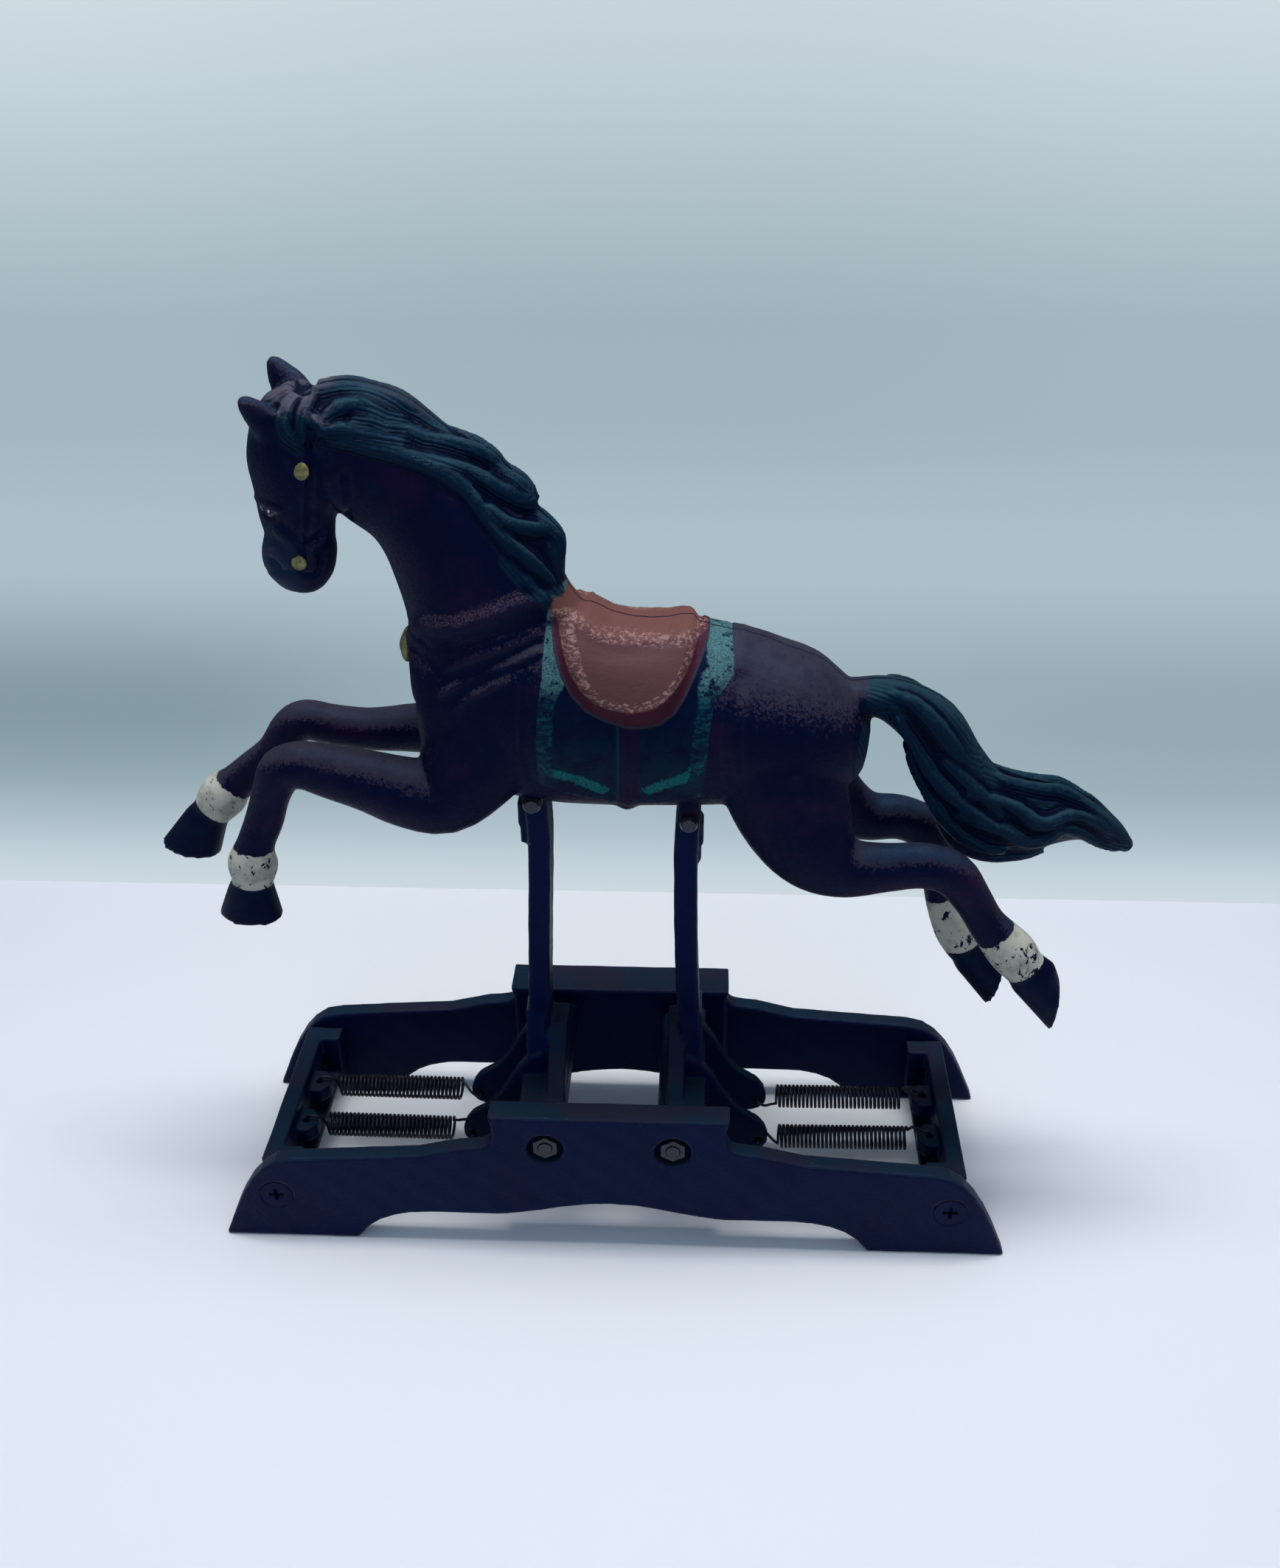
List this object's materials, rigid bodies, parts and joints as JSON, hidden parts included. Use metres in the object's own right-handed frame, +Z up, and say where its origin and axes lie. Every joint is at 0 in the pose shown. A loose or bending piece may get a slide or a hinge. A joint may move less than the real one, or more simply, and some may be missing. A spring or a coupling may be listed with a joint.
{
  "type": "rocking horse toy",
  "caption": "Cast iron toy horse with a saddle, carried on two upright levers that pivot in a slotted floor frame; coil springs pull the levers back, so the horse rocks to and fro.",
  "frame": {"origin": "on the floor, under the middle of the toy's bounding box", "axes": "the horse faces -X, its left side is -Y, +Z is up from the floor"},
  "size_m": [0.2852, 0.0744, 0.2622],
  "materials": {
    "black_iron": "satin black-navy paint over a sandy casting",
    "bay_paint": "dark bay paint over a sandy casting",
    "dark_steel": "dark oiled steel"
  },
  "bodies": {
    "base": {"left_side_rail": "black_iron", "right_side_rail": "black_iron", "front_cross_piece": "black_iron", "rear_cross_piece": "black_iron", "front_left_end_screw": "dark_steel", "front_right_end_screw": "dark_steel", "rear_left_end_screw": "dark_steel", "rear_right_end_screw": "dark_steel", "front_pivot_bolt": "dark_steel", "rear_pivot_bolt": "dark_steel", "front_pivot_nut": "dark_steel", "rear_pivot_nut": "dark_steel", "front_left_spring": "dark_steel", "front_right_spring": "dark_steel", "rear_left_spring": "dark_steel", "rear_right_spring": "dark_steel"},
    "front_lever": {"front_lever": "black_iron"},
    "rear_lever": {"rear_lever": "black_iron"},
    "horse": {"left_horse_half": "bay_paint", "right_horse_half": "bay_paint", "front_top_pin": "dark_steel", "rear_top_pin": "dark_steel", "front_body_screw": "dark_steel", "rear_body_screw": "dark_steel"}
  },
  "joints": [
    {"name": "front_lever_swing", "type": "hinge", "parent": "base", "child": "front_lever", "pos_m": [-0.02503, 0, 0.0395], "axis": [0, 1, 0], "range_deg": [-12, 12], "stiffness_Nm_per_rad": 1.46, "deforming": ["front_left_spring", "front_right_spring"]},
    {"name": "rear_lever_swing", "type": "hinge", "parent": "base", "child": "rear_lever", "pos_m": [0.01317, 0, 0.0395], "axis": [0, 1, 0], "range_deg": [-12.7, 12.7], "stiffness_Nm_per_rad": 1.46, "deforming": ["rear_left_spring", "rear_right_spring"]},
    {"name": "horse_rock", "type": "hinge", "parent": "front_lever", "child": "horse", "pos_m": [-0.02693, 0, 0.1437], "axis": [0, 1, 0], "range_deg": [-10.6, 10.6]}
  ],
  "couplings": [
    {"joint": "rear_lever_swing", "follows": "front_lever_swing", "ratio": 1.048},
    {"joint": "horse_rock", "follows": "front_lever_swing", "ratio": -0.8703}
  ]
}
